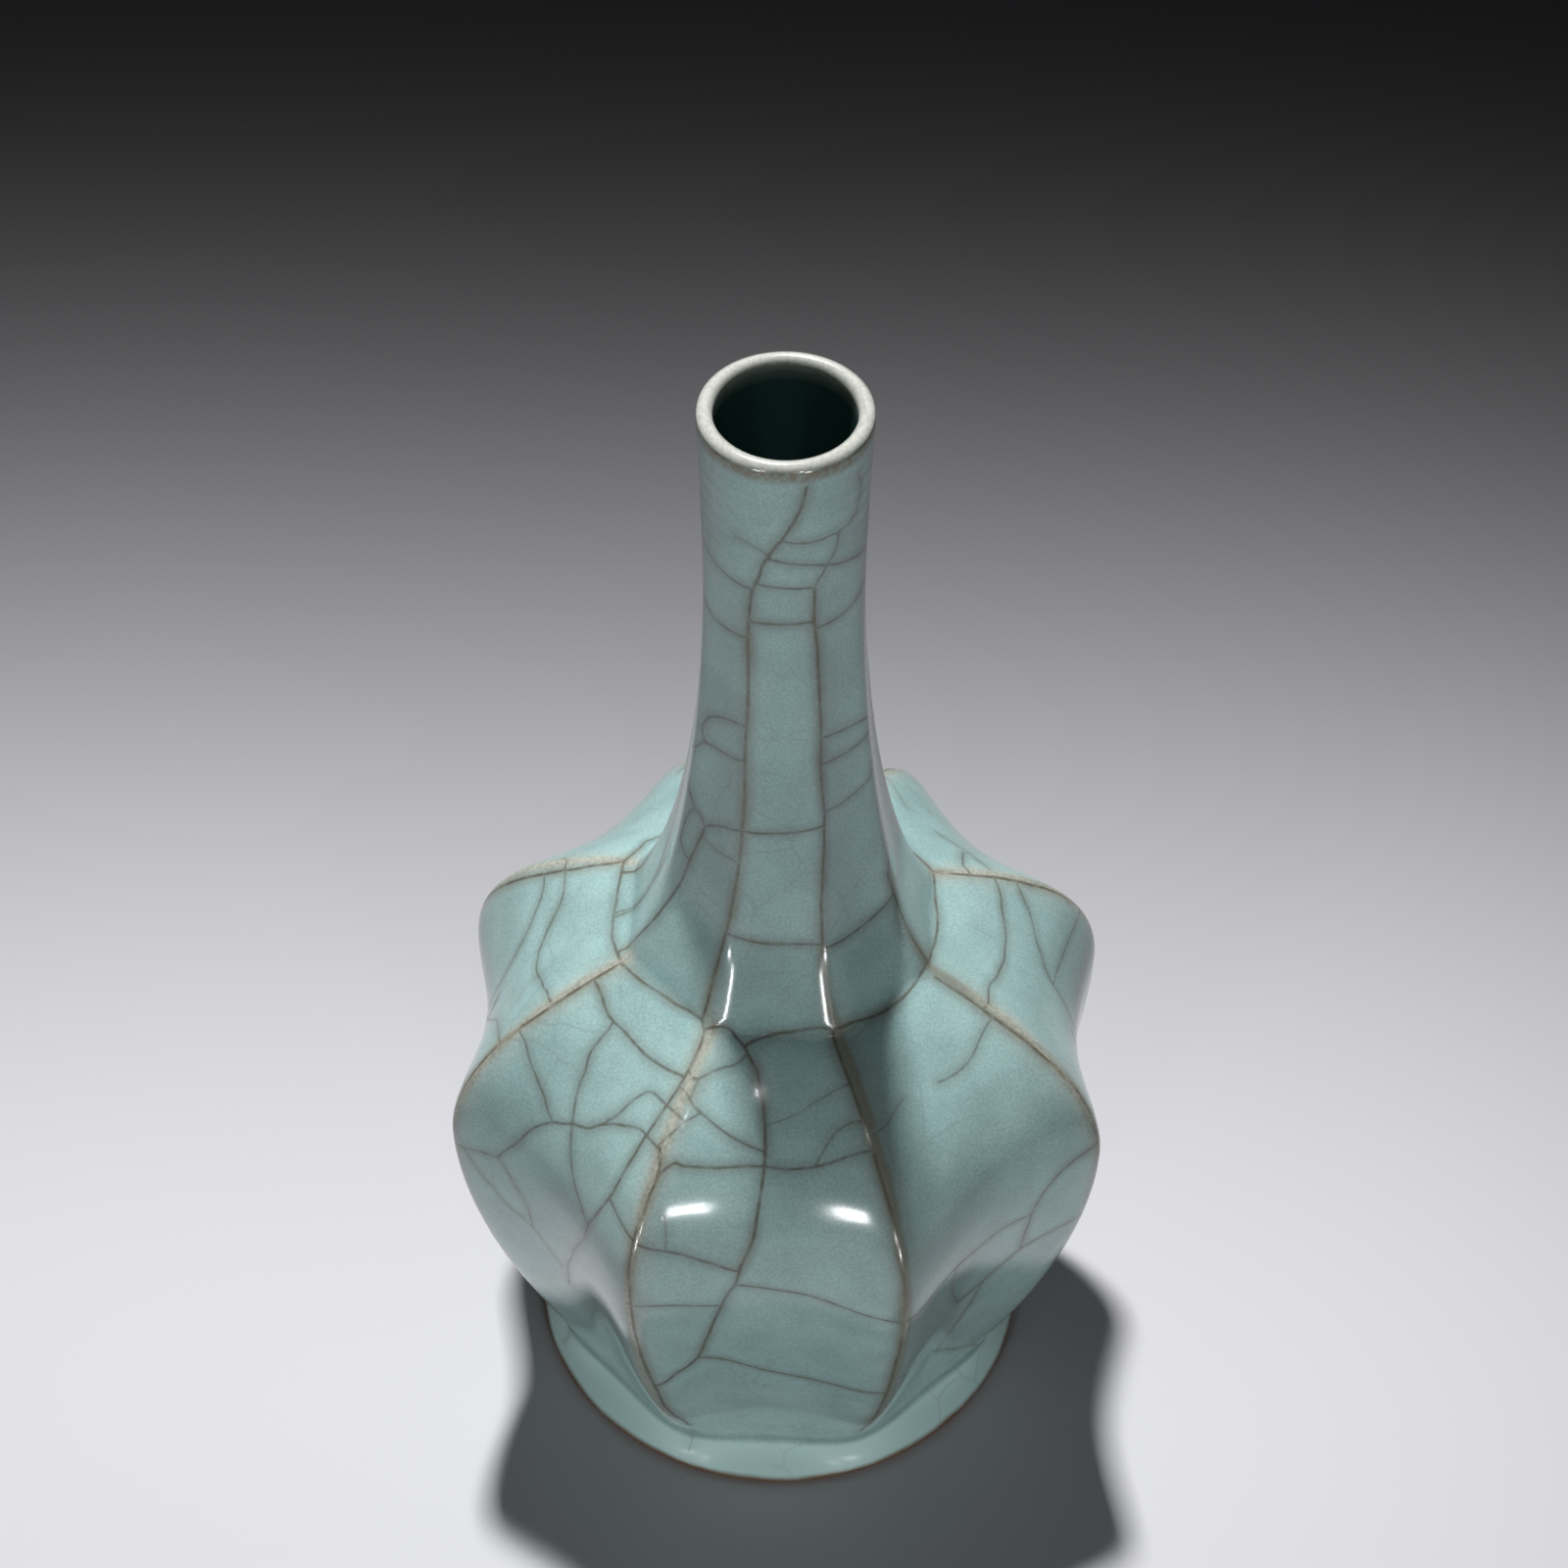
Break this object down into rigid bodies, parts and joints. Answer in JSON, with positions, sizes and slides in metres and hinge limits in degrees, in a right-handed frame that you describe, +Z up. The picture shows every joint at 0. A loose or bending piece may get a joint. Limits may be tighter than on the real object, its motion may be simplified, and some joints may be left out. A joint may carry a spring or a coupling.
{
  "type": "bottle vase",
  "caption": "Crackle-glazed celadon bottle vase: slim neck with a rolled lip, ridged star-section body with hollow panels, flared round foot.",
  "frame": {"origin": "centre of the foot, on the surface that the vase stands on", "axes": "+Z up along the axis of the vase; -Y is the front, the middle of one of the eight panels, which the picture looks at"},
  "size_m": [0.1104, 0.1104, 0.22],
  "materials": {
    "lip_glaze": "glossy celadon glaze, thin and near white on the lip, with a brown line below it",
    "neck_glaze": "glossy blue-green celadon glaze with wide brown crackle",
    "body_glaze": "glossy blue-green celadon glaze with wide brown crackle, pale beige on the ridges",
    "base_glaze": "thick blue-green celadon glaze",
    "foot_glaze": "glossy celadon glaze ending in a bare iron-brown clay edge"
  },
  "bodies": {
    "root": {"mouth_collar": "lip_glaze", "neck": "neck_glaze", "shoulder": "body_glaze", "lower_body": "body_glaze", "base_slab": "base_glaze", "foot_ring": "foot_glaze"}
  },
  "joints": []
}
